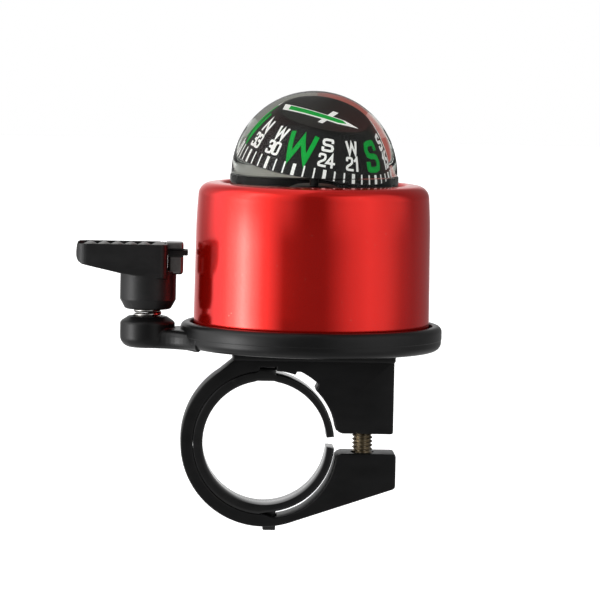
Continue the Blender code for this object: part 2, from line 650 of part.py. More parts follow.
black_plastic = make_material("black_plastic", (0.012, 0.012, 0.013), 0.42)
base_plastic = make_material("base_plastic", (0.014, 0.014, 0.015), 0.38)
liner_plastic = make_material("liner_plastic", (0.02, 0.02, 0.02), 0.5)
anodised_red = make_material("anodised_red", (0.55, 0.01, 0.006), 0.22, 1.0)
clear_acrylic = make_material("clear_acrylic", (0.9, 0.95, 0.93), 0.03, 0.0, 0.25)
capsule_black = make_material("capsule_black", (0.01, 0.01, 0.01), 0.3)
card_black = make_material("card_black", (0.02, 0.02, 0.022), 0.5)
soft_rubber = make_material("soft_rubber", (0.03, 0.03, 0.03), 0.8)
foam_pad = make_material("foam_pad", (0.6, 0.6, 0.58), 0.9)
spring_steel = make_material("spring_steel", (0.6, 0.6, 0.6), 0.25, 1.0)
zinc_steel = make_material("zinc_steel", (0.5, 0.5, 0.5), 0.35, 1.0)
dark_steel = make_material("dark_steel", (0.22, 0.17, 0.1), 0.4, 1.0)
magnet_grey = make_material("magnet_grey", (0.1, 0.1, 0.1), 0.6, 0.3)
jewel_red = make_material("jewel_red", (0.5, 0.02, 0.08), 0.1)

NECK = (BOSS_X, 0, NECK_Z)

build_bracket(black_plastic)
build_liner(liner_plastic)
build_clamp_screw(dark_steel, zinc_steel, zinc_steel)
build_base_plate(base_plastic)
build_spring(spring_steel, NECK)
lever = build_lever(black_plastic, NECK)
hammer = build_hammer(zinc_steel, NECK)
hang_on("striker_neck", NECK, [lever, hammer, build_hammer_pin(dark_steel, NECK)])
build_cup(anodised_red)
build_cup_fixing(zinc_steel, soft_rubber)
build_capsule(capsule_black, clear_acrylic, soft_rubber, foam_pad, zinc_steel)
build_card(card_black, magnet_grey, jewel_red)
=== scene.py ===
"""Looks of the bicycle bell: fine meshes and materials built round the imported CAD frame.

Lengths in this script are millimetres, turned into metres when a mesh is made. Places and main sizes come
from the CAD nodes' boxes; the small details of each piece are the named values in its own section.
"""

import json
import math

import bmesh
import bpy
from mathutils import Matrix, Vector


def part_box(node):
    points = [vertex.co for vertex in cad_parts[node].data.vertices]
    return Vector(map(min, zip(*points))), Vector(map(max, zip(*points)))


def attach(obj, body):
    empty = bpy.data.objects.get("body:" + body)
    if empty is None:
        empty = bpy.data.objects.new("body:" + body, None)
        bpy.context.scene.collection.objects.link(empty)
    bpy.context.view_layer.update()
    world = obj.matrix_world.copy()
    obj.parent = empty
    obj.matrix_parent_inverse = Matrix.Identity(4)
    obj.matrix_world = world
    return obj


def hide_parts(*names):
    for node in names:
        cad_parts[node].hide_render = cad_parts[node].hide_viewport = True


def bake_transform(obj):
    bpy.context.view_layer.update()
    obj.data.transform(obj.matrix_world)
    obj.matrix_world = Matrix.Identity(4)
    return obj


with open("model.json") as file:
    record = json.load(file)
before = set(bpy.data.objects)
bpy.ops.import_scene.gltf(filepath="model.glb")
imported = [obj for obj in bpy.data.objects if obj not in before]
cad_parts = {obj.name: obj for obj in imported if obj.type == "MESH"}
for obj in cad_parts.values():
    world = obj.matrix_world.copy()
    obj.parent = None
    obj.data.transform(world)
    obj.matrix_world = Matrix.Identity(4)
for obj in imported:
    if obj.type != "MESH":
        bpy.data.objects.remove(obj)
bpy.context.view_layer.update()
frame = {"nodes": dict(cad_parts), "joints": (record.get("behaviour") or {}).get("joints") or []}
MM = 0.001


# --- Places and sizes, from the CAD nodes --------------------------------------------------------------


class Span:
    """A CAD node's box in millimetres."""

    def __init__(self, node):
        low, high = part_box(node)
        self.lo = low / MM
        self.hi = high / MM
        self.mid = (self.lo + self.hi) / 2
        self.size = self.hi - self.lo
        self.radius = self.size.x / 2


def joint(name):
    return next(j for j in frame["joints"] if j["name"] == name)


CUP = Span("bell_cup")
DOME = Span("compass_dome")
CAPSULE = Span("capsule_base")
BASE = Span("base_plate")
BRACKET = Span("clamp_bracket")
LINER = Span("bar_liner")
SCREW = Span("clamp_screw")
LEVER = Span("striker_lever")
SLUG = Span("striker_hammer")
PIN = Span("hammer_pin")
SPRING = Span("striker_spring")
BELL_X = CUP.mid.x
NECK = Vector(joint("striker_flick")["pos_m"]) / MM
CARD_PIVOT = Vector(joint("card_spin")["pos_m"]) / MM
CARD_AXIS = Vector(joint("card_spin")["axis"]).normalized()


# --- Mesh helpers --------------------------------------------------------------------------------------


def arc(centre_x, centre_z, radius, start, end, steps):
    """Points along an arc, with its angles in degrees from +X towards +Z."""
    angles = [math.radians(start + (end - start) * i / steps) for i in range(steps + 1)]
    return [(centre_x + radius * math.cos(a), centre_z + radius * math.sin(a)) for a in angles]


def rounded(points, radii, steps=6):
    """A closed outline with each corner rounded by its radius; a radius of 0 leaves the corner sharp."""
    result = []
    count = len(points)
    for i, point in enumerate(points):
        corner = Vector(point)
        radius = radii[i] if isinstance(radii, (list, tuple)) else radii
        before = (Vector(points[i - 1]) - corner).normalized()
        after = (Vector(points[(i + 1) % count]) - corner).normalized()
        half = before.angle(after) / 2
        if radius <= 0 or half > math.radians(88):
            result.append(tuple(corner))
            continue
        reach = radius / math.tan(half)
        centre = corner + (before + after).normalized() * (radius / math.sin(half))
        first = corner + before * reach - centre
        last = corner + after * reach - centre
        turn = first.angle_signed(last)
        for k in range(steps + 1):
            offset = first.copy()
            offset.rotate(Matrix.Rotation(-turn * k / steps, 2))
            result.append(tuple(centre + offset))
    return result


def bake(name, shape):
    """Turns a finished bmesh into a mesh and frees it."""
    mesh = bpy.data.meshes.new(name)
    shape.to_mesh(mesh)
    shape.free()
    return mesh


def smooth(mesh, angle=35):
    """Shades the mesh smooth, apart from edges sharper than an angle in degrees."""
    mesh.shade_smooth()
    mesh.set_sharp_from_angle(angle=math.radians(angle))


def mesh_object(name, mesh):
    smooth(mesh)
    obj = bpy.data.objects.new(name, mesh)
    bpy.context.scene.collection.objects.link(obj)
    return obj


def lathe(name, profile, centre, steps=160, closed=False):
    """Turns a profile of (radius, z) points, top to bottom on the outer side, about a vertical axis."""
    shape = bmesh.new()
    rings = []
    for radius, z in profile:
        if radius < 1e-6:
            rings.append([shape.verts.new((centre[0] * MM, centre[1] * MM, z * MM))])
            continue
        turn = [2 * math.pi * i / steps for i in range(steps)]
        ring = [(centre[0] + radius * math.cos(a), centre[1] + radius * math.sin(a), z) for a in turn]
        rings.append([shape.verts.new(Vector(point) * MM) for point in ring])
    pairs = list(zip(rings, rings[1:]))
    if closed:
        pairs.append((rings[-1], rings[0]))
    for upper, lower in pairs:
        for i in range(steps):
            k = (i + 1) % steps
            corners = [upper[i % len(upper)], lower[i % len(lower)]]
            corners += [lower[k % len(lower)], upper[k % len(upper)]]
            corners = list(dict.fromkeys(corners))
            if len(corners) > 2:
                shape.faces.new(corners)
    bmesh.ops.recalc_face_normals(shape, faces=shape.faces)
    return mesh_object(name, bake(name, shape))


def prism(name, outline, low, high, across="y", edge=0.0, segments=3):
    """A plate cut to an outline and extruded between low and high; edge rounds its two faces' borders.

    Across "y" takes (x, z) points, and across "z" takes (x, y) points.
    """
    shape = bmesh.new()
    places = []
    for level in (low, high):
        if across == "y":
            places.append([shape.verts.new((x * MM, level * MM, z * MM)) for x, z in outline])
        else:
            places.append([shape.verts.new((x * MM, y * MM, level * MM)) for x, y in outline])
    count = len(outline)
    caps = [shape.faces.new(places[0]), shape.faces.new(places[1])]
    for i in range(count):
        k = (i + 1) % count
        shape.faces.new((places[0][i], places[0][k], places[1][k], places[1][i]))
    bmesh.ops.recalc_face_normals(shape, faces=shape.faces)
    if edge > 0:
        border = [e for cap in caps for e in cap.edges]
        bmesh.ops.bevel(shape, geom=border, offset=edge * MM, segments=segments, profile=0.5, affect="EDGES")
    caps = [f for f in shape.faces if len(f.verts) > 4]
    bmesh.ops.triangulate(shape, faces=caps)
    return mesh_object(name, bake(name, shape))


def tube(shape, rings):
    """Skins a run of equal rings of bmesh vertices with faces, and closes its two ends."""
    for one, two in zip(rings, rings[1:]):
        for i in range(len(one)):
            k = (i + 1) % len(one)
            shape.faces.new((one[i], one[k], two[k], two[i]))
    shape.faces.new(rings[0])
    shape.faces.new(rings[-1])


def block(name, low, high, edge=0.0, segments=3):
    """A box between two corners, with rounded edges."""
    shape = bmesh.new()
    bmesh.ops.create_cube(shape, size=1.0)
    for vert in shape.verts:
        for axis in range(3):
            middle = (low[axis] + high[axis]) / 2
            vert.co[axis] = (middle + vert.co[axis] * (high[axis] - low[axis])) * MM
    if edge > 0:
        bmesh.ops.bevel(shape, geom=shape.edges, offset=edge * MM, segments=segments,
                        profile=0.5, affect="EDGES")
    return mesh_object(name, bake(name, shape))


def cylinder(name, centre, radius, low, high, steps=48):
    return lathe(name, [(0, high), (radius, high), (radius, low), (0, low)], centre, steps=steps)


def freeze(obj):
    """Applies the object's modifiers."""
    evaluated = obj.evaluated_get(bpy.context.evaluated_depsgraph_get())
    mesh = bpy.data.meshes.new_from_object(evaluated)
    old = obj.data
    obj.modifiers.clear()
    obj.data = mesh
    bpy.data.meshes.remove(old)
    return obj


def combine(target, tool, operation):
    """Applies a Boolean of the tool to the target and removes the tool."""
    modifier = target.modifiers.new("boolean", "BOOLEAN")
    modifier.object = tool
    modifier.operation = operation
    modifier.solver = "EXACT"
    bpy.context.view_layer.update()
    freeze(target)
    bpy.data.objects.remove(tool, do_unlink=True)
    return target


def melt(target, voxel, rounds, factor=0.5):
    """Fuses overlapping solids into one soft-edged moulding by a voxel remesh and some smoothing."""
    remesh = target.modifiers.new("fuse", "REMESH")
    remesh.mode = "VOXEL"
    remesh.voxel_size = voxel * MM
    soften = target.modifiers.new("soften", "SMOOTH")
    soften.iterations = rounds
    soften.factor = factor
    bpy.context.view_layer.update()
    return freeze(target)


def join(name, objects):
    """Puts several objects' meshes in one object, as loose solids."""
    shape = bmesh.new()
    for obj in objects:
        part = obj.data.copy()
        part.transform(obj.matrix_world)
        shape.from_mesh(part)
        bpy.data.meshes.remove(part)
    mesh = bake(name, shape)
    for obj in objects:
        bpy.data.objects.remove(obj, do_unlink=True)
    return mesh_object(name, mesh)


def finish_piece(obj, material, body, slot, *nodes, angle=35):
    """Gives a finished piece its material and its body, and hides the CAD nodes it stands for; its slot is
    not used.
    """
    obj.data.materials.clear()
    obj.data.materials.append(material)
    smooth(obj.data, angle)
    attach(obj, body)
    if nodes:
        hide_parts(*nodes)
    return obj


# --- Materials -----------------------------------------------------------------------------------------


def add_node(tree, kind, inputs, settings):
    """Adds a shader node; each input is a socket to link from or a value to set."""
    node = tree.nodes.new("ShaderNode" + kind)
    for key, value in settings.items():
        setattr(node, key, value)
    for key, value in (inputs or {}).items():
        if isinstance(value, bpy.types.NodeSocket):
            tree.links.new(value, node.inputs[key])
        else:
            node.inputs[key].default_value = value
    return node


def fill_ramp(node, stops):
    """Gives a colour ramp its (position, grey level or colour) stops."""
    elements = node.color_ramp.elements
    while len(elements) < len(stops):
        elements.new(0.5)
    for element, (position, color) in zip(elements, stops):
        element.position = position
        element.color = (*color, 1.0) if isinstance(color, tuple) else (color, color, color, 1.0)
    return node.outputs["Color"]


class Shader:
    """A material's node tree, with short calls to add nodes and links."""

    def __init__(self, name):
        self.material = bpy.data.materials.new(name)
        self.material.use_nodes = True
        self.tree = self.material.node_tree
        self.main = self.tree.nodes["Principled BSDF"]
        self.output = self.tree.nodes["Material Output"]

    def add(self, kind, inputs=None, **settings):
        return add_node(self.tree, kind, inputs, settings)

    def set(self, **inputs):
        for key, value in inputs.items():
            socket = self.main.inputs[key.replace("_", " ")]
            if isinstance(value, bpy.types.NodeSocket):
                self.tree.links.new(value, socket)
            else:
                socket.default_value = value
        return self

    def place(self):
        return self.add("TexCoord").outputs["Object"]

    def noise(self, scale, detail=3.0, roughness=0.5, stretch=None):
        """Noise in object space, with its scale per metre; stretch scales the axes unevenly."""
        vector = self.place()
        if stretch:
            vector = self.add("Mapping", {"Vector": vector, "Scale": stretch}).outputs["Vector"]
        inputs = {"Vector": vector, "Scale": scale, "Detail": detail, "Roughness": roughness}
        return self.add("TexNoise", inputs).outputs["Fac"]

    def ramp(self, value, stops):
        """A colour ramp over value; each stop is (position, grey level or colour)."""
        return fill_ramp(self.add("ValToRGB", {"Fac": value}), stops)

    def spread(self, value, low, high):
        """Maps a 0 to 1 value onto low to high."""
        return self.add("MapRange", {"Value": value, "To Min": low, "To Max": high}).outputs["Result"]

    def bump(self, height, distance, strength=1.0):
        inputs = {"Height": height, "Distance": distance * MM, "Strength": strength}
        return self.add("Bump", inputs).outputs["Normal"]


def moulded_black(name, tone=0.005, low=0.34, high=0.48, grain=0.010, shine=0.2, painted_top_light=0.0):
    """Satin black moulding: fine grain, faint flow marks and slightly greyed, worn edges.

    Painted top light greys the faces that look up. It is painted light that stands in for the lit tops of the
    lever's ribs.
    """
    s = Shader(name)
    flow = s.noise(180, 4.0, 0.6, (1.0, 1.0, 2.4))
    deep = (tone * 0.75, tone * 0.78, tone * 0.8)
    pale = (tone * 1.5, tone * 1.5, tone * 1.55)
    colour = s.ramp(flow, [(0.3, deep), (0.75, pale)])
    worn = s.ramp(s.add("NewGeometry").outputs["Pointiness"], [(0.52, 0.0), (0.62, 1.0)])
    patches = s.ramp(s.noise(900, 2.0), [(0.45, 0.0), (0.7, 0.5)])
    scuff = s.add("Math", {0: worn, 1: patches}, operation="MULTIPLY")
    grey = (tone * 4.5, tone * 4.4, tone * 4.2, 1.0)
    edge = s.add("MixRGB", {"Fac": scuff.outputs[0], "Color1": colour, "Color2": grey})
    # Painted top light: faces that look up are mixed towards grey as painted light, not wear.
    if painted_top_light > 0:
        upward = s.add("SeparateXYZ", {0: s.add("NewGeometry").outputs["Normal"]}).outputs["Z"]
        painted_light_share = s.ramp(upward, [(0.3, 0.0), (0.85, painted_top_light)])
        inputs = {"Fac": painted_light_share, "Color1": edge.outputs["Color"], "Color2": (0.15, 0.15, 0.145, 1.0)}
        edge = s.add("MixRGB", inputs)
    fine = s.noise(5200, 2.0)
    s.set(Base_Color=edge.outputs["Color"], Roughness=s.spread(flow, low, high))
    s.set(Specular_IOR_Level=shine, Normal=s.bump(fine, grain))
    return s.material


def anodised_red(name):
    """Clear red anodising over bright aluminium, with a drawn grain round the wall and a few specks."""
    s = Shader(name)
    cloud = s.noise(90, 3.0, 0.55)
    colour = s.ramp(cloud, [(0.25, (0.70, 0.006, 0.002)), (0.8, (0.76, 0.009, 0.003))])
    drawn = s.noise(420, 2.0, 0.5, (1.0, 1.0, 14.0))
    speck = s.ramp(s.noise(2600, 1.0, 0.3), [(0.80, 0.0), (0.84, 1.0)])
    tint = s.add("MixRGB", {"Fac": speck, "Color1": colour, "Color2": (0.85, 0.25, 0.2, 1.0)})
    s.set(Base_Color=tint.outputs["Color"], Metallic=0.78, Roughness=s.spread(drawn, 0.13, 0.19))
    s.set(Specular_Tint=(0.85, 0.06, 0.04, 1.0))
    s.set(Coat_Weight=0.52, Coat_Roughness=0.10, Coat_IOR=1.5, Normal=s.bump(drawn, 0.0025))
    return s.material


def steel(name, tint, low, high, grain=900):
    """Plated steel with a fine uneven polish."""
    s = Shader(name)
    wear = s.noise(grain, 3.0, 0.6)
    dark = tuple(c * 0.75 for c in tint)
    s.set(Base_Color=s.ramp(wear, [(0.3, dark), (0.7, tint)]), Metallic=1.0)
    s.set(Roughness=s.spread(wear, low, high), Normal=s.bump(s.noise(grain * 5, 2.0), 0.004))
    return s.material


def soft_material(name, tint, roughness, grain=2500, depth=0.02):
    """Rubber, foam and other matt stock."""
    s = Shader(name)
    mottle = s.noise(grain, 4.0, 0.6)
    dark = tuple(c * 0.7 for c in tint)
    s.set(Base_Color=s.ramp(mottle, [(0.3, dark), (0.7, tint)]), Roughness=roughness)
    s.set(Normal=s.bump(mottle, depth))
    return s.material


def printed(name, tint, painted_glow, roughness=0.6):
    """Screen-printed ink, slightly uneven in density, with a little emission as painted light that brightens
    it.
    """
    s = Shader(name)
    density = s.noise(1600, 3.0, 0.6)
    dark = tuple(c * 0.85 for c in tint)
    colour = s.ramp(density, [(0.3, dark), (0.6, tint)])
    s.set(Base_Color=colour, Roughness=roughness, Specular_IOR_Level=0.2)
    # Painted glow: the ink emits its own colour, so it reads brighter than its lighting makes it.
    s.set(Emission_Color=colour, Emission_Strength=painted_glow)
    return s.material


def clear_liquid(name):
    """The clear dome and the liquid behind it, as one refracting body that lets lamps reach the card."""
    s = Shader(name)
    ripple = s.bump(s.noise(120, 2.0, 0.5), 0.006)
    tint = (0.96, 0.975, 0.965, 1.0)
    entering = s.add("BsdfRefraction", {"Color": tint, "Roughness": 0.0, "IOR": 1.44, "Normal": ripple})
    leaving = s.add("BsdfGlass", {"Color": tint, "Roughness": 0.0, "IOR": 1.44, "Normal": ripple})
    gloss = s.add("BsdfGlossy", {"Color": (1.0, 1.0, 1.0, 1.0), "Roughness": 0.03, "Normal": ripple})
    shine = s.add("Math", {0: s.add("Fresnel", {"IOR": 1.25}).outputs["Fac"], 1: 0.45}, operation="MULTIPLY")
    outside = s.add("MixShader", {0: shine.outputs[0], 1: entering.outputs[0], 2: gloss.outputs[0]})
    inside_out = s.add("NewGeometry").outputs["Backfacing"]
    body = s.add("MixShader", {0: inside_out, 1: outside.outputs[0], 2: leaving.outputs[0]})
    clear = s.add("BsdfTransparent", {"Color": (0.96, 0.97, 0.965, 1.0)})
    path = s.add("LightPath")
    mix = s.add("MixShader", {0: path.outputs["Is Shadow Ray"], 1: body.outputs[0], 2: clear.outputs[0]})
    s.tree.links.new(mix.outputs[0], s.output.inputs["Surface"])
    s.tree.nodes.remove(s.main)
    return s.material


BLACK = moulded_black("moulded_black")
# The lever's faces that look up are greyed by painted top light.
LEVER_BLACK = moulded_black("lever_black", tone=0.011, shine=0.24, painted_top_light=0.8)
BASE_BLACK = moulded_black("base_black", low=0.28, high=0.4, shine=0.22)
LINER_BLACK = moulded_black("liner_black", tone=0.006, low=0.10, high=0.18, grain=0.004, shine=0.5)
CAPSULE_BLACK = moulded_black("capsule_black", tone=0.004, low=0.3, high=0.42, grain=0.003, shine=0.15)
RED = anodised_red("anodised_red")
ZINC = steel("zinc_steel", (0.62, 0.61, 0.58), 0.28, 0.42)
BRIGHT = steel("spring_steel", (0.42, 0.41, 0.39), 0.14, 0.24)
SLUG_STEEL = steel("slug_steel", (0.16, 0.155, 0.15), 0.3, 0.42)
PIN_STEEL = steel("pin_steel", (0.05, 0.05, 0.05), 0.3, 0.4)
DARK_STEEL = steel("dark_steel", (0.36, 0.31, 0.23), 0.26, 0.4)
RUBBER = soft_material("soft_rubber", (0.03, 0.03, 0.03), 0.75)
FOAM = soft_material("foam_pad", (0.6, 0.6, 0.57), 0.9, 1800, 0.05)
MAGNET = soft_material("magnet_grey", (0.02, 0.02, 0.02), 0.6, 3000)
JEWEL = steel("jewel_red", (0.5, 0.03, 0.08), 0.08, 0.14)
CARD_BLACK = moulded_black("card_black", tone=0.008, low=0.34, high=0.4, grain=0.0008, shine=0.22)
# Both inks carry a painted glow, which brightens them as painted light.
WHITE_INK = printed("white_ink", (0.90, 0.90, 0.88), 0.35)
GREEN_INK = printed("green_ink", (0.002, 0.36, 0.045), 0.25)
CLEAR = clear_liquid("clear_acrylic")


# --- Bell cup ------------------------------------------------------------------------------------------


def build_cup():
    """The gong, with its rounded shoulder, the bead round the crown recess and a rolled lower edge."""
    wall = 1.0
    shoulder = 2.3
    bead = 1.1
    recess = 16.0
    floor = Span("capsule_pad").lo.z - 0.3
    floor_wall = 0.9
    hole = 2.2
    lean, lean_height = 0.30, 8.0
    crest = CUP.hi.z
    wall_radius = CUP.radius - 0.15
    top_radius = wall_radius - lean
    middle = top_radius - shoulder
    shoulder_z = crest - 0.1 - shoulder
    bead_x = recess + bead
    profile = [(hole, floor), (recess - 1.0, floor)]
    profile += arc(recess - 1.0, floor + 1.0, 1.0, -90, 0, 5)[1:]
    profile += arc(bead_x, crest - bead, bead, 180, 90, 10)
    profile += [((bead_x + middle) / 2, crest)]
    profile += arc(middle, shoulder_z, shoulder, 90, 0, 18)
    for i in range(1, 11):
        drop = lean_height * i / 10
        profile.append((top_radius + lean * (1 - (1 - i / 10) ** 2), shoulder_z - drop))
    start = shoulder_z - lean_height
    for i in range(1, 5):
        part = i / 5
        profile.append((wall_radius + 0.15 * part, start + (CUP.lo.z + 0.4 - start) * part))
    profile += arc(CUP.radius - 0.4, CUP.lo.z + 0.4, 0.4, 0, -90, 4)
    profile += [(CUP.radius - wall, CUP.lo.z)]
    profile += arc(middle, shoulder_z, shoulder - wall, 0, 90, 8)
    inner = recess + wall
    profile += [(inner + 0.4, crest - wall), (inner, crest - wall - 0.5)]
    profile += [(inner, floor + 0.2), (inner - 1.1, floor - floor_wall), (hole, floor - floor_wall)]
    cup = lathe("bell_cup_fine", profile, (BELL_X, 0), steps=256, closed=True)
    cup.visible_transmission = False
    return finish_piece(cup, RED, "root", "anodised_red", "bell_cup")


# --- Compass -------------------------------------------------------------------------------------------


def build_dome():
    """The clear dome with the liquid behind it, as one body that reaches down to the capsule's floor."""
    foot_radius = DOME.radius
    radius = foot_radius - 0.2
    centre_z = DOME.hi.z - radius
    foot = CAPSULE.hi.z + 0.05
    inner = 13.95
    floor = CAPSULE.lo.z + 1.25
    profile = arc(0, centre_z, radius, 90, 0, 44)
    profile[0] = (0, DOME.hi.z)
    profile += [(radius + 0.02, centre_z - 0.08), (foot_radius - 0.04, centre_z - 0.16)]
    profile += [(foot_radius, centre_z - 0.24), (foot_radius, foot)]
    profile += [(inner, foot), (inner, floor), (0, floor)]
    dome = lathe("compass_dome_fine", profile, (BELL_X, 0), steps=192)
    return finish_piece(dome, CLEAR, "root", "clear_acrylic", "compass_dome")


def build_capsule():
    """The black floor of the capsule, with the ring that the dome's foot stands on and the seal's seat."""
    radius = CAPSULE.radius
    top = 34.3
    bottom = CAPSULE.lo.z
    wall = 14.0
    floor = bottom + 1.2
    seat = 32.3
    hub = 34.6
    profile = [(0, hub), (2.4, hub), (4.7, hub - 0.7), (6.4, floor)]
    profile += [(12.1, floor), (12.3, seat), (wall, seat)]
    profile += [(wall, top)] + arc(radius - 0.25, top - 0.25, 0.25, 90, 0, 4)
    profile += arc(radius - 0.5, bottom + 0.5, 0.5, 0, -90, 4)
    profile += [(4.4, bottom), (4.4, bottom + 1.9), (0, bottom + 1.9)]
    base = lathe("capsule_base_fine", profile, (BELL_X, 0), steps=160)
    return finish_piece(base, CAPSULE_BLACK, "root", "capsule_black", "capsule_base")


class Card:
    """The compass card's own frame: its axis points up through the crown, and south lies along +X."""

    skirt = (9.8, -0.6)
    crown = (6.2, 7.0)
    bulge = 0.45
    wall = 0.7

    @staticmethod
    def place():
        """Matrix from the card's frame, in millimetres round the jewel's seat, to the row frame."""
        side = Vector(joint("card_tilt")["axis"]).normalized()
        forward = side.cross(CARD_AXIS)
        turn = Matrix((forward, side, CARD_AXIS)).transposed().to_4x4()
        return Matrix.Translation(CARD_PIVOT) @ turn

    @classmethod
    def side(cls, height, lift):
        """Radius and level of a point at a distance up the bowed side from the skirt, lifted off it."""
        foot = Vector(cls.skirt)
        chord = Vector(cls.crown) - foot
        part = height / chord.length
        outward = Vector((chord.y, -chord.x)).normalized()
        slope = (chord.normalized() + outward * (4 * cls.bulge * (1 - 2 * part) / chord.length)).normalized()
        normal = Vector((slope.y, -slope.x))
        return foot + chord * part + outward * (4 * cls.bulge * part * (1 - part)) + normal * lift

    @classmethod
    def on_side(cls, bearing, height, lift):
        """A point on the side, at an angle round the card's axis."""
        radius, level = cls.side(height, lift)
        return Vector((radius * math.cos(bearing), radius * math.sin(bearing), level))

    @classmethod
    def profile(cls):
        """The shell's section: flat crown, bowed side, open skirt and the jewel's tube."""
        length = (Vector(cls.crown) - Vector(cls.skirt)).length
        outer = [tuple(cls.side(length * (1 - i / 20), 0)) for i in range(21)]
        inner = [tuple(cls.side(length * i / 20, -cls.wall)) for i in range(20)]
        top = cls.crown[1]
        crown_edge = outer[0][0] - 0.15
        points = [(0, top), (crown_edge - 0.25, top), (crown_edge, top - 0.04)] + outer[1:]
        points += inner[:-1] + [(cls.crown[0] - cls.wall - 0.3, top - cls.wall), (2.3, top - cls.wall)]
        return points + [(2.3, -0.9), (1.5, -0.9), (1.5, 1.1), (0, 1.1)]


# Each glyph is a set of strokes over a 1 x 1 box; a closed stroke repeats its first point.
GLYPHS = {
    "N": [[(0.1, 0), (0.1, 1), (0.9, 0), (0.9, 1)]],
    "E": [[(0.9, 1), (0.1, 1), (0.1, 0), (0.9, 0)], [(0.1, 0.5), (0.8, 0.5)]],
    "S": [[(0.92, 0.8), (0.92, 1), (0.08, 1), (0.08, 0.52), (0.92, 0.48), (0.92, 0), (0.08, 0), (0.08, 0.2)]],
    "W": [[(0.0, 1), (0.22, 0), (0.5, 0.9), (0.78, 0), (1.0, 1)]],
    "0": [[(0.08, 0.5), (0.08, 1), (0.92, 1), (0.92, 0), (0.08, 0), (0.08, 0.5)]],
    "1": [[(0.2, 0.8), (0.55, 1), (0.55, 0)]],
    "2": [[(0.08, 0.8), (0.08, 1), (0.92, 1), (0.92, 0.58), (0.08, 0.25), (0.08, 0), (0.95, 0)]],
    "3": [[(0.08, 0.84), (0.08, 1), (0.9, 1), (0.9, 0.53), (0.4, 0.53)],
          [(0.5, 0.5), (0.95, 0.47), (0.95, 0), (0.08, 0), (0.08, 0.16)]],
    "4": [[(0.72, 0), (0.72, 1), (0.0, 0.3), (1.0, 0.3)]],
    "5": [[(0.9, 1), (0.1, 1), (0.1, 0.55), (0.9, 0.55), (0.9, 0), (0.08, 0), (0.08, 0.16)]],
    "6": [[(0.9, 0.85), (0.9, 1), (0.1, 1), (0.1, 0), (0.9, 0), (0.9, 0.5), (0.15, 0.5)]],
}


def softened(path, cut):
    """The path with its corners cut off at a distance, as painted lettering has rounded bends."""
    points = [Vector(p) for p in path]
    result = [points[0]]
    for before, corner, after in zip(points, points[1:], points[2:]):
        into, out = before - corner, after - corner
        if into.angle(out) < math.radians(60):
            result.append(corner)
            continue
        reach = min(cut, into.length * 0.45, out.length * 0.45)
        first, last = corner + into.normalized() * reach, corner + out.normalized() * reach
        result += [first, (first + last + corner * 2) / 4, last]
    return result + [points[-1]]


def stroke_sides(points, width):
    """The left and right borders of a flat stroke, mitred at its corners."""
    closed = points[0] == points[-1]
    path = [Vector(p) for p in (points[:-1] if closed else points)]
    count = len(path)
    left, right = [], []
    for i, point in enumerate(path):
        ahead = path[(i + 1) % count] if closed or i < count - 1 else None
        behind = path[i - 1] if closed or i > 0 else None
        into = (point - behind).normalized() if behind else (ahead - point).normalized()
        out = (ahead - point).normalized() if ahead else into
        normal = Vector((-(into + out).y, (into + out).x)).normalized()
        side = Vector((-into.y, into.x))
        reach = width / 2 / max(0.35, normal.dot(side))
        end = Vector((0, 0))
        if not closed and i == 0:
            end = -into * width / 2
        if not closed and i == count - 1:
            end = into * width / 2
        left.append(point + normal * reach + end)
        right.append(point - normal * reach + end)
    if closed:
        left.append(left[0])
        right.append(right[0])
    return left, right


def ribbon(shape, points, width, place, finest=0.5):
    """Adds a thin closed strip to the bmesh; place turns (across, up, lift) into a point in millimetres."""
    left, right = stroke_sides(points, width)
    sections = []
    for i in range(len(left) - 1):
        length = max((left[i + 1] - left[i]).length, (right[i + 1] - right[i]).length)
        pieces = max(1, math.ceil(length / finest))
        last = pieces if i == len(left) - 2 else pieces - 1
        for k in range(last + 1):
            part = k / pieces
            sections.append((left[i].lerp(left[i + 1], part), right[i].lerp(right[i + 1], part)))
    thickness = 0.06
    rings = []
    for a, b in sections:
        corners = [(a, 0.0), (b, 0.0), (b, thickness), (a, thickness)]
        rings.append([shape.verts.new(place(p.x, p.y, lift) * MM) for p, lift in corners])
    tube(shape, rings)


def write(shape, text, bearing, foot, height, width, stroke, gap=0.2):
    """Writes a short text round the card, centred on a bearing, with its feet at a height up the side."""
    total = len(text) * width + (len(text) - 1) * gap
    radius = Card.side(foot + height / 2, 0)[0]
    for index, letter in enumerate(text):
        start = -total / 2 + index * (width + gap)
        for points in GLYPHS[letter]:
            path = [(start + x * width, foot + stroke / 2 + y * (height - stroke)) for x, y in points]
            path = softened(path, width * 0.28)

            def place(across, up, lift):
                return Card.on_side(bearing + across / radius, up, 0.02 + lift)

            ribbon(shape, path, stroke, place)


def ink_object(name, shape, material):
    bmesh.ops.recalc_face_normals(shape, faces=shape.faces)
    shape.transform(Matrix.Scale(MM, 4) @ Card.place() @ Matrix.Scale(1 / MM, 4))
    return finish_piece(mesh_object(name, bake(name, shape)), material, "card", "card_black")


DIAL_TURN = -2.5


def dial_bearing(degrees):
    """Angle round the card's axis of a mark; the scale runs so that it reads from outside."""
    return math.radians(180.0 - degrees + DIAL_TURN)


def slab(shape, outline, low, high):
    """A thin flat piece lying on the card's crown, between two levels above it."""
    level = Card.crown[1] + 0.02
    under = [shape.verts.new((x * MM, y * MM, (level + low) * MM)) for x, y in outline]
    over = [shape.verts.new((x * MM, y * MM, (level + high) * MM)) for x, y in outline]
    for i in range(len(outline)):
        k = (i + 1) % len(outline)
        shape.faces.new((under[i], under[k], over[k], over[i]))
    shape.faces.new(under)
    shape.faces.new(over)


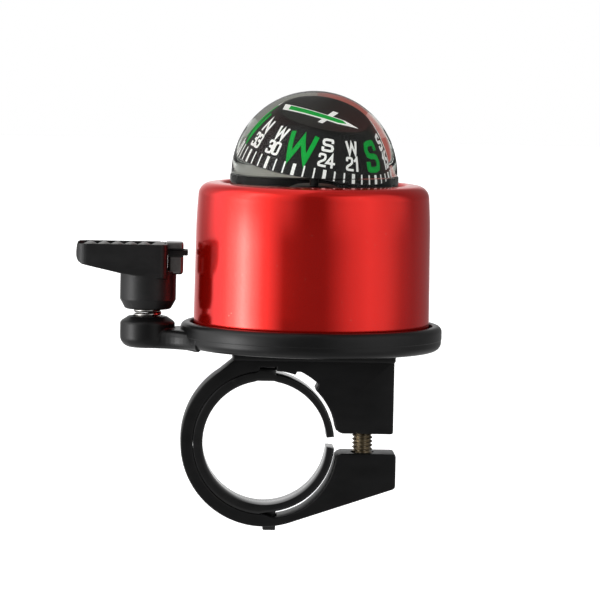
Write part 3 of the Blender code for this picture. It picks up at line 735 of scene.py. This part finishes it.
def build_scale(white, green):
    """The ring of ticks, the numbers in tens of degrees and the letters above them."""
    for mark in range(0, 360, 10):
        width = 0.56 if mark % 30 == 0 else 0.26
        bearing = dial_bearing(mark)

        def upright(across, up, lift, bearing=bearing):
            return Card.on_side(bearing + across / Card.skirt[0], up, 0.02 + lift)

        ribbon(white, [(0, 0.05 + width / 2), (0, 1.95 - width / 2)], width, upright)
    for degrees, letter, number in [(30, "E", "3"), (60, "N", "6"), (120, "E", "12"), (150, "S", "15"),
                                    (210, "W", "21"), (240, "S", "24"), (300, "W", "30"), (330, "N", "33")]:
        bearing = dial_bearing(degrees)
        write(white, number, bearing, 2.35, 2.2, 1.12, 0.36)
        write(white, letter, bearing, 4.85, 2.2, 1.75, 0.40)
    for degrees, letter in [(0, "N"), (90, "E"), (180, "S"), (270, "W")]:
        width = 4.3 if letter == "W" else 2.9
        write(green, letter, dial_bearing(degrees), 2.3, 4.7, width, 0.82)


def build_arrow(white, green):
    """The arrow along the crown, white with a green middle, and the bar across it."""
    tail, neck, tip, half = -5.7, 2.4, 5.1, 1.0
    slab(white, [(tail, -half), (neck, -half), (tip, 0), (neck, half), (tail, half)], 0.0, 0.05)
    inset = 0.34
    side = half - inset
    start, bend = tail + 0.8, neck - 0.1
    slab(green, [(start, -side), (bend, -side), (tip - 1.9, 0), (bend, side), (start, side)], 0.06, 0.11)
    for y in (1, -1):
        near, far = sorted((y * (half - 0.02), y * 2.8))
        slab(white, [(0.0, near), (0.7, near), (0.7, far), (0.0, far)], 0.0, 0.05)


def build_card():
    """The card's moulded shell, then its scale and arrow as thin printed ink."""
    shell = lathe("compass_card_fine", Card.profile(), (0, 0), steps=128)
    shell.data.transform(Matrix.Scale(MM, 4) @ Card.place() @ Matrix.Scale(1 / MM, 4))
    finish_piece(shell, CARD_BLACK, "card", "card_black", "compass_card")
    white = bmesh.new()
    green = bmesh.new()
    build_scale(white, green)
    build_arrow(white, green)
    ink_object("card_print_white", white, WHITE_INK)
    ink_object("card_print_green", green, GREEN_INK)


# --- Base plate ----------------------------------------------------------------------------------------


def arm_outline(reach, half, fillet, end):
    """Plan of the striker's arm, from the boss's axis to the rim, into which its sides flare."""
    fillet_y = half + fillet
    meet = math.degrees(math.asin((fillet_y - fillet * math.sin(math.radians(end))) / reach))
    fillet_x = BELL_X - reach * math.cos(math.radians(meet)) - fillet * math.cos(math.radians(end))
    points = arc(fillet_x, -fillet_y, fillet, 90, end, 12)
    points += arc(BELL_X, 0, reach - 1.8, 180 + meet, 180 - meet, 12)
    points += arc(fillet_x, fillet_y, fillet, -end, -90, 12)
    return [(NECK.x, -half)] + points + [(NECK.x, half)]


def build_boss_and_arm(rim_radius):
    """The striker's boss and its flared arm, melted into one moulding, with the spring's pocket and stud."""
    boss_radius = 4.9
    boss_top = 11.0
    foot = BASE.lo.z
    profile = [(0, boss_top), (3.4, boss_top), (4.6, 10.2), (boss_radius, 9.85), (boss_radius, 7.75)]
    profile += arc(boss_radius - 2.0, foot + 2.0, 2.0, 0, -90, 8) + [(0, foot)]
    boss = lathe("boss", profile, (NECK.x, 0), steps=96)
    arm = prism("arm", arm_outline(rim_radius + 0.02, 4.2, 8.0, 11.0), foot, 8.9, across="z", edge=1.2)
    moulding = join("boss_and_arm", [boss, arm])
    melt(moulding, 0.14, 4)
    pocket_low = SPRING.lo.z - 0.3
    combine(moulding, cylinder("pocket", (NECK.x, 0), 2.8, pocket_low, boss_top + 1), "DIFFERENCE")
    combine(moulding, cylinder("stud", (NECK.x, 0), 1.4, pocket_low - 0.5, boss_top - 0.4, 32), "UNION")
    return moulding


def build_base():
    """The dished plate with its rounded rim and the sleeve that carries the cup, joined to the arm."""
    radius = BASE.hi.x - BELL_X
    bottom = 5.8
    floor = 8.4
    rim_top = 10.25
    bore = 3.9
    profile = [(bore, BASE.hi.z), (5.4, BASE.hi.z), (5.8, floor + 0.8), (6.6, floor), (21.4, floor)]
    profile += [(21.7, floor + 0.4), (21.7, rim_top - 0.25)] + arc(21.95, rim_top - 0.25, 0.25, 180, 90, 3)
    profile += arc(radius - 1.1, rim_top - 1.1, 1.1, 80, 8, 8)
    profile += [(radius, 8.6), (radius, 7.86), (radius - 0.07, 7.78)]
    profile += arc(radius - 1.6, bottom + 1.5, 1.53, 5, -90, 10)
    profile += [(bore, bottom)]
    plate = lathe("base_plate_fine", profile, (BELL_X, 0), steps=224, closed=True)
    combine(plate, build_boss_and_arm(radius), "UNION")
    return finish_piece(plate, BASE_BLACK, "root", "base_plastic", "base_plate", angle=32)


# --- Handlebar clamp -----------------------------------------------------------------------------------


BORE_Z = -11.1
BAND_INNER = 12.85
BAND_OUTER = 15.07
BAND_HALF_WIDTH = 4.0


def tangent_angle(x, z, side):
    """Angle at which a line from (x, z) touches the band's outer circle."""
    distance = math.hypot(x, z - BORE_Z)
    angle = math.atan2(z - BORE_Z, x)
    return math.degrees(angle + side * math.acos(BAND_OUTER / distance))


def bore_curve(stops):
    """Points round the bore through (angle in degrees, radius) stops, its radius blended between them."""
    points = []
    for (start, first), (end, last) in zip(stops, stops[1:]):
        steps = max(1, math.ceil(abs(end - start) / 2.5))
        for i in range(steps):
            part = i / steps
            angle = math.radians(start + (end - start) * part)
            radius = first + (last - first) * part
            points.append((radius * math.cos(angle), BORE_Z + radius * math.sin(angle)))
    angle, radius = math.radians(stops[-1][0]), stops[-1][1]
    return points + [(radius * math.cos(angle), BORE_Z + radius * math.sin(angle))]


def build_bracket():
    """Seat, pillar, band and ear in one moulding, with softened corners at the slit."""
    ear_top = -12.8
    pillar_bottom = -9.2
    seat_z = 3.7
    right = 22.9
    mouth = 13.8
    seat_left = -4.9
    corner = (BRACKET.hi.x, -19.0)
    ear_angle = math.degrees(math.asin((ear_top - BORE_Z) / BAND_INNER))
    pillar_angle = math.degrees(math.asin((pillar_bottom - BORE_Z) / BAND_INNER))
    slot = (-1.05, 1.85)
    key_top = 2.5
    key_angles = [math.degrees(math.acos(x / BAND_INNER)) for x in slot]
    points = bore_curve([(ear_angle - 3, 12.95), (-30, 13.25), (-60, 13.65), (-82, 13.65), (-89, BAND_INNER),
                         (key_angles[0] - 360, BAND_INNER)])
    points += [(slot[0], key_top), (slot[1], key_top)]
    points += bore_curve([(key_angles[1] - 360, 13.05), (-293, 13.35), (-293.5, 14.0), (-296, 14.25),
                          (-311, 14.25), (-312, 14.0), (-313, 13.1), (-340, 12.95),
                          (pillar_angle - 357, 12.9)])
    points += arc(0, BORE_Z, BAND_INNER + 0.5, pillar_angle - 359.2, pillar_angle - 359.2, 1)[:1]
    points += [(mouth, pillar_bottom)]
    points += arc(right - 0.4, pillar_bottom + 0.4, 0.4, -90, 0, 4)
    points += [(right, seat_z + 0.6), (seat_left, seat_z + 0.6)]
    left = tangent_angle(seat_left, seat_z, 1)
    low = tangent_angle(*corner, -1)
    points += arc(0, BORE_Z, BAND_OUTER, left, low + 360, 64)
    points += [(corner[0] - 0.5, corner[1] - 0.17), (corner[0] - 0.1, corner[1] + 0.1)]
    points += [(corner[0], corner[1] + 0.5)]
    points += arc(corner[0] - 0.5, ear_top - 0.5, 0.5, 0, 90, 4)
    points += [(mouth, ear_top)]
    points += arc(0, BORE_Z, BAND_INNER + 0.5, ear_angle - 0.8, ear_angle - 0.8, 1)[:1]
    half = BAND_HALF_WIDTH
    bracket = prism("clamp_bracket_fine", points, -half, half, edge=0.28)
    seat = block("seat", (BRACKET.lo.x + 8.97, -6, seat_z), (23.0, 6, 5.5), 0.45, 4)
    combine(bracket, seat, "UNION")
    combine(bracket, cylinder("post", (BELL_X, 0), 3.6, 4.5, BRACKET.hi.z), "UNION")
    combine(bracket, cylinder("pilot", (BELL_X, 0), 2.0, BRACKET.hi.z - 14, BRACKET.hi.z + 1), "DIFFERENCE")
    combine(bracket, block("peg_hole", (-0.35, -2.0, -27.1), (2.55, 2.0, -22.5)), "DIFFERENCE")
    axis = (SCREW.mid.x, 0)
    combine(bracket, cylinder("shank", axis, 2.15, -18, 0.2), "DIFFERENCE")
    combine(bracket, cylinder("counterbore", axis, 3.3, -25, -16.6), "DIFFERENCE")
    nut = Span("clamp_nut")
    low = (nut.lo.x - 0.3, nut.lo.y - 0.3, nut.lo.z - 0.3)
    high = (nut.hi.x + 0.3, half + 1, nut.hi.z + 0.3)
    combine(bracket, block("nut_slot", low, high), "DIFFERENCE")
    return finish_piece(bracket, BLACK, "root", "black_plastic", "clamp_bracket", angle=30)


def build_liner():
    """The split ring with its crown pad, key and peg."""
    outer, inner = 12.45, 11.1
    middle = (outer + inner) / 2
    split = [math.degrees(math.asin((z - BORE_Z) / middle)) for z in (-11.9, -9.9)]
    pad_half = 1.5
    pad = math.degrees(math.acos((pad_half + 0.6) / inner))
    key = (-1.0, 1.8)
    key_angles = [math.degrees(math.acos(x / outer)) for x in reversed(key)]
    seated = outer + 0.36
    points = arc(0, BORE_Z, outer, split[1], key_angles[0], 40)
    points += [(key[1], 2.2), (key[0], 2.2)]
    points += arc(0, BORE_Z, seated, key_angles[1] + 3, 266, 90)
    points += arc(0, BORE_Z, outer, 274, split[0] + 360, 40)
    points += arc(0, BORE_Z, inner, split[0] + 360, 180 - pad, 120)
    points += [(-pad_half, 0), (pad_half, 0)]
    points += arc(0, BORE_Z, inner, pad, split[1], 40)
    liner = prism("bar_liner_fine", points, -BAND_HALF_WIDTH, BAND_HALF_WIDTH, edge=0.16, segments=2)
    peg = block("peg", (-0.05, -1.7, LINER.lo.z), (2.25, 1.7, -22.9), 0.2, 2)
    combine(liner, peg, "UNION")
    return finish_piece(liner, LINER_BLACK, "root", "liner_plastic", "bar_liner", angle=30)


def build_clamp_screw():
    """The screw with a real thread on its shank and a cross-slotted pan head."""
    pitch = 0.7
    major = 1.85
    depth = 0.36
    steps = 48
    head_radius = SCREW.radius
    head_height = 2.0
    head_top = SCREW.lo.z + head_height
    rows = []
    z = SCREW.hi.z
    while z > head_top + 0.4:
        rows.append((z, True))
        z -= pitch / 10
    rows.append((head_top + 0.3, False))
    shape = bmesh.new()
    rings = []
    for z, threaded in rows:
        ring = []
        for i in range(steps):
            turn = i / steps
            phase = ((z / pitch) - turn) % 1.0
            groove = max(0.0, min(1.0, 2.4 * abs(phase - 0.5) - 0.1))
            radius = major - (depth * groove if threaded else depth)
            taper = min(1.0, (SCREW.hi.z - z + 0.25) / 0.9)
            radius *= 0.7 + 0.3 * taper
            x = SCREW.mid.x + radius * math.cos(2 * math.pi * turn)
            y = radius * math.sin(2 * math.pi * turn)
            ring.append(shape.verts.new((x * MM, y * MM, z * MM)))
        rings.append(ring)
    rim = 0.5
    head = [(major - depth, head_top), (head_radius - 0.1, head_top), (head_radius, head_top - 0.1)]
    head += [(head_radius, SCREW.lo.z + rim)]
    head += arc(head_radius - rim, SCREW.lo.z + rim, rim, 0, -80, 5)[1:]
    for radius, z in head:
        angles = [2 * math.pi * i / steps for i in range(steps)]
        ring = [(SCREW.mid.x + radius * math.cos(a), radius * math.sin(a), z) for a in angles]
        rings.append([shape.verts.new(Vector(p) * MM) for p in ring])
    tube(shape, rings)
    bmesh.ops.recalc_face_normals(shape, faces=shape.faces)
    screw = mesh_object("clamp_screw_fine", bake("clamp_screw_fine", shape))
    for index, (x, y) in enumerate([(1.6, 0.35), (0.35, 1.6)]):
        low = (SCREW.mid.x - x, -y, SCREW.lo.z - 1)
        high = (SCREW.mid.x + x, y, SCREW.lo.z + 1.1)
        combine(screw, block(f"drive_{index}", low, high), "DIFFERENCE")
    return finish_piece(screw, DARK_STEEL, "clamp_screw", "dark_steel", "clamp_screw", angle=28)


# --- Striker -------------------------------------------------------------------------------------------


def shape_thumb_rest(mesh, left, right, half, top):
    """Sinks the flat top into six scallops that deepen towards its long edges, and crowns it slightly."""
    pitch = 2.4
    first = right - 3.0
    last = left + 1.3
    for vert in mesh.vertices:
        x, y, z = vert.co / MM
        if z < top - 0.4 or vert.normal.z < 0.3:
            continue
        edge = min(1.0, abs(y) / half) ** 1.5
        swell = abs(math.sin(math.pi * (x - first) / pitch))
        if x > first + pitch / 2:
            swell = 1.0
        if x < last:
            swell = 0.0
        depth = (0.45 + 0.95 * edge) * (1.0 - swell)
        nose = max(0.0, (left + 1.6 - x) / 1.6) ** 2 * 0.5
        vert.co.z -= (depth + 0.9 * edge ** 2 + nose) * MM


def build_lever():
    """The thumb piece: ribbed top, rounded plan, and the round socket that the spring enters."""
    left, right = LEVER.lo.x, SLUG.lo.x - 0.3
    top = LEVER.hi.z
    half = 5.0
    socket_x = NECK.x - 5.0
    under = 18.85
    side = [(left, 22.6), (left, 21.9), (left + 0.12, 21.3), (left + 0.45, 20.75), (left + 1.1, 20.35)]
    side += [(socket_x, under), (right, 17.9), (right, top), (left + 0.5, top)]
    side += [(left + 0.15, top - 0.3)]
    plan = rounded([(left, -half), (right, -half), (right, half), (left, half)], [2.3, 1.5, 1.5, 2.3], 8)
    thumb = prism("thumb", side, -6, 6)
    combine(thumb, prism("plan", plan, 16, 26, across="z"), "INTERSECT")
    bottom = LEVER.lo.z
    profile = [(0, 19.2), (4.9, 19.2), (5.0, 18.7), (5.0, bottom + 1.7), (4.85, bottom + 1.45)]
    profile += [(4.15, bottom + 0.15), (3.85, bottom), (0, bottom)]
    socket = lathe("socket", profile, (NECK.x, 0), steps=96)
    lever = join("striker_lever_fine", [thumb, socket])
    melt(lever, 0.11, 3)
    shape_thumb_rest(lever.data, left, right, half, top)
    pocket_top = SPRING.hi.z + 0.3
    combine(lever, cylinder("pocket", (NECK.x, 0), 2.8, bottom - 1, pocket_top), "DIFFERENCE")
    combine(lever, cylinder("stud", (NECK.x, 0), 1.4, bottom + 0.5, pocket_top + 0.5, 32), "UNION")
    low = (right - 1.4, -2.3, PIN.mid.z - 0.8)
    high = (right + 1, 2.3, PIN.mid.z + 0.8)
    combine(lever, block("pin_socket", low, high), "DIFFERENCE")
    low = (right - 0.6, -SLUG.hi.y - 0.15, 22.95)
    high = (right + 1, SLUG.hi.y + 0.15, top + 1)
    combine(lever, block("lip_notch", low, high), "DIFFERENCE")
    return finish_piece(lever, LEVER_BLACK, "striker", "black_plastic", "striker_lever", angle=40)


def build_hammer():
    """The rounded steel slug with a lip over the lever and side grooves, and the forked pin in them."""
    low = (SLUG.lo.x - 0.28, SLUG.lo.y, SLUG.lo.z)
    slug = block("striker_hammer_fine", low, SLUG.hi, 0.6, 6)
    lip_low = (SLUG.lo.x - 0.75, SLUG.lo.y, SLUG.hi.z - 1.2)
    combine(slug, block("lip", lip_low, SLUG.hi, 0.45, 5), "UNION")
    for side in (1, -1):
        reach = sorted((side * 0.7, side * 4))
        low = (SLUG.lo.x - 1, reach[0], PIN.mid.z - 0.8)
        high = (SLUG.hi.x + 1, reach[1], PIN.mid.z + 0.8)
        combine(slug, block("groove", low, high), "DIFFERENCE")
    finish_piece(slug, SLUG_STEEL, "striker", "zinc_steel", "striker_hammer")
    pin = block("hammer_pin_fine", PIN.lo, PIN.hi, 0.2, 3)
    low = (PIN.lo.x - 1, -1.0, PIN.lo.z - 1)
    high = (SLUG.hi.x + 0.3, 1.0, PIN.hi.z + 1)
    combine(pin, block("fork", low, high), "DIFFERENCE")
    finish_piece(pin, BASE_BLACK, "striker", "dark_steel", "hammer_pin")


def build_spring():
    """The coil that is the striker's neck, between the boss and the lever."""
    wire = 0.37
    pitch = 0.8
    middle = SPRING.radius - 0.33
    low, high = SPRING.lo.z + wire, SPRING.hi.z - wire
    turns = (high - low) / pitch
    around, section = 40, 12
    count = int(turns * around)
    shape = bmesh.new()
    rings = []
    for i in range(count + 1):
        angle = 2 * math.pi * i / around
        out = Vector((math.cos(angle), math.sin(angle), 0))
        centre = Vector((NECK.x, 0, low + pitch * i / around)) + out * middle
        ring = []
        for k in range(section):
            turn = 2 * math.pi * k / section
            offset = out * math.cos(turn) * wire + Vector((0, 0, math.sin(turn) * wire))
            ring.append(shape.verts.new((centre + offset) * MM))
        rings.append(ring)
    tube(shape, rings)
    bmesh.ops.recalc_face_normals(shape, faces=shape.faces)
    spring = mesh_object("striker_spring_fine", bake("striker_spring_fine", shape))
    spring.data.materials.append(BRIGHT)
    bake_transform(spring)
    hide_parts("striker_spring")


# --- Hidden hardware keeps its CAD shape ---------------------------------------------------------------


KEPT = {
    "clamp_nut": ZINC, "clamp_washer": ZINC, "centre_screw": ZINC, "pivot_pin": PIN_STEEL,
    "cup_washer_upper": RUBBER, "cup_washer_lower": RUBBER, "capsule_seal": RUBBER, "fill_plug": RUBBER,
    "capsule_pad": FOAM, "card_magnet": MAGNET, "card_jewel": JEWEL,
}


def dress_kept_nodes():
    for node, material in KEPT.items():
        obj = frame["nodes"][node]
        obj.data.materials.clear()
        obj.data.materials.append(material)


# --- Studio --------------------------------------------------------------------------------------------


# Brightness of the studio by azimuth in degrees, where 0 lies behind the camera and +X is at +90.
AT_EYE_LEVEL = [(-180, 1.0), (-165, 0.8), (-143, 0.35), (-130, 0.5), (-114, 1.4), (-97, 2.4), (-84, 6.1),
                (-73, 14.5), (-62, 6.5), (-51, 1.9), (-39, 1.0), (-30, 0.22), (11, 0.22), (20, 0.42),
                (34, 0.82), (55, 1.16), (73, 1.0), (95, 0.44), (114, 0.30), (163, 0.32), (168, 1.0),
                (180, 1.0)]
RAISED = [(-180, 1.0), (-150, 0.5), (-130, 0.7), (-114, 1.8), (-97, 2.3), (-83, 3.5), (-73, 4.6), (-62, 2.8),
          (-50, 1.6), (-38, 1.1), (-26, 0.8), (-18, 0.4), (-10, 0.18), (8, 0.16), (20, 0.7), (35, 1.1),
          (55, 1.3), (73, 1.0), (95, 0.8), (112, 0.25), (163, 0.25), (180, 1.0)]
OVERHEAD = [(-180, 1.0), (-130, 0.9), (-40, 0.95), (-30, 0.75), (-15, 0.33), (40, 0.33), (73, 0.5),
            (95, 0.45), (115, 0.36), (160, 0.36), (180, 0.8)]
BELOW = [(-180, 0.7), (-90, 1.2), (-60, 1.2), (-30, 0.6), (180, 0.7)]
BRIGHTEST = 14.5
# Colour of the surroundings as they show through the liquid: beige to the right, red to the left.
THROUGH = [(-180, (0.26, 0.14, 0.12)), (-160, (0.40, 0.12, 0.10)), (-125, (0.44, 0.12, 0.10)),
           (-100, (1.0, 0.95, 0.92)), (-40, (1.0, 1.0, 1.0)), (60, (0.5, 0.5, 0.48)),
           (110, (0.26, 0.26, 0.24)), (165, (0.27, 0.26, 0.23)), (180, (0.26, 0.22, 0.20))]


def build_world():
    """A studio of soft panels, seen by reflections and diffuse light; the camera sees plain white."""
    world = bpy.data.worlds.new("studio")
    bpy.context.scene.world = world
    world.use_nodes = True
    tree = world.node_tree
    tree.nodes.clear()

    def add(kind, inputs=None, **settings):
        return add_node(tree, kind, inputs, settings)

    def maths(operation, a, b=0.0):
        return add("Math", {0: a, 1: b}, operation=operation).outputs[0]

    parts = add("SeparateXYZ", {0: add("TexCoord").outputs["Generated"]})
    x, y, z = parts.outputs
    azimuth = maths("MULTIPLY", maths("ARCTAN2", x, maths("MULTIPLY", y, -1.0)), 180 / math.pi)
    height = maths("MULTIPLY", maths("ARCSINE", z), 180 / math.pi)
    around = maths("DIVIDE", maths("ADD", azimuth, 180.0), 360.0)

    def by_azimuth(stops):
        scaled = []
        for place, level in stops:
            colour = level if isinstance(level, tuple) else (level, level, level)
            scaled.append(((place + 180) / 360, tuple(c / BRIGHTEST for c in colour)))
        return fill_ramp(add("ValToRGB", {"Fac": around}), scaled)

    def blend(one, two, start, end):
        """Changes from one to two between two heights in degrees."""
        inputs = {"Value": height, "From Min": start, "From Max": end}
        part = add("MapRange", inputs, interpolation_type="SMOOTHSTEP").outputs["Result"]
        return add("MixRGB", {"Fac": part, "Color1": one, "Color2": two}).outputs["Color"]

    light = blend(by_azimuth(AT_EYE_LEVEL), by_azimuth(RAISED), -4.2, 4.5)
    light = blend(light, by_azimuth(OVERHEAD), 40.0, 62.0)
    light = blend(by_azimuth(BELOW), light, -32.0, -14.0)

    path = add("LightPath")
    through = path.outputs["Is Transmission Ray"]
    light = add("MixRGB", {"Fac": through, "Color1": light, "Color2": by_azimuth(THROUGH)}).outputs["Color"]
    studio = add("Background", {"Color": light, "Strength": BRIGHTEST})
    white = add("Background", {"Color": (1, 1, 1, 1), "Strength": 1.0})
    mix = add("MixShader", {0: path.outputs["Is Camera Ray"], 1: studio.outputs[0], 2: white.outputs[0]})
    add("OutputWorld", {"Surface": mix.outputs[0]})


def build_floor():
    """A wide pale floor well below the bell, too far for its shadow to read."""
    shape = bmesh.new()
    bmesh.ops.create_grid(shape, x_segments=1, y_segments=1, size=6.0)
    floor = bpy.data.objects.new("floor", bake("floor", shape))
    floor.location.z = LINER.lo.z * MM - 0.16
    s = Shader("pale_floor")
    s.set(Base_Color=s.ramp(s.noise(20, 2.0), [(0.3, 0.93), (0.7, 0.95)]), Roughness=0.9)
    s.set(Emission_Color=(1, 1, 1, 1), Emission_Strength=0.55)
    floor.data.materials.append(s.material)
    floor.visible_glossy = False
    floor.visible_diffuse = False
    floor.visible_transmission = False
    bpy.context.scene.collection.objects.link(floor)


def build_camera():
    """A long lens in front of the bell, a little above and a little to the left, rolled very slightly."""
    target = Vector((5.9, 0.0, 14.3)) * MM
    distance = 0.7
    azimuth, elevation, roll = math.radians(-2.0), math.radians(4.5), math.radians(1.2)
    direction = Vector((math.sin(azimuth) * math.cos(elevation), -math.cos(azimuth) * math.cos(elevation),
                        math.sin(elevation)))
    data = bpy.data.cameras.new("camera")
    data.sensor_width = 36.0
    data.lens = 36.0 * distance / 0.1074
    data.clip_start = 0.01
    camera = bpy.data.objects.new("camera", data)
    look = (-direction).to_track_quat("-Z", "Y").to_matrix().to_4x4()
    place = Matrix.Translation(target + direction * distance)
    camera.matrix_world = place @ look @ Matrix.Rotation(roll, 4, "Z")
    bpy.context.scene.collection.objects.link(camera)
    bpy.context.scene.camera = camera


build_cup()
build_dome()
build_capsule()
build_card()
build_base()
build_bracket()
build_liner()
build_clamp_screw()
build_lever()
build_hammer()
build_spring()
dress_kept_nodes()
build_world()
build_floor()
build_camera()
bpy.context.scene.view_settings.view_transform = "Standard"
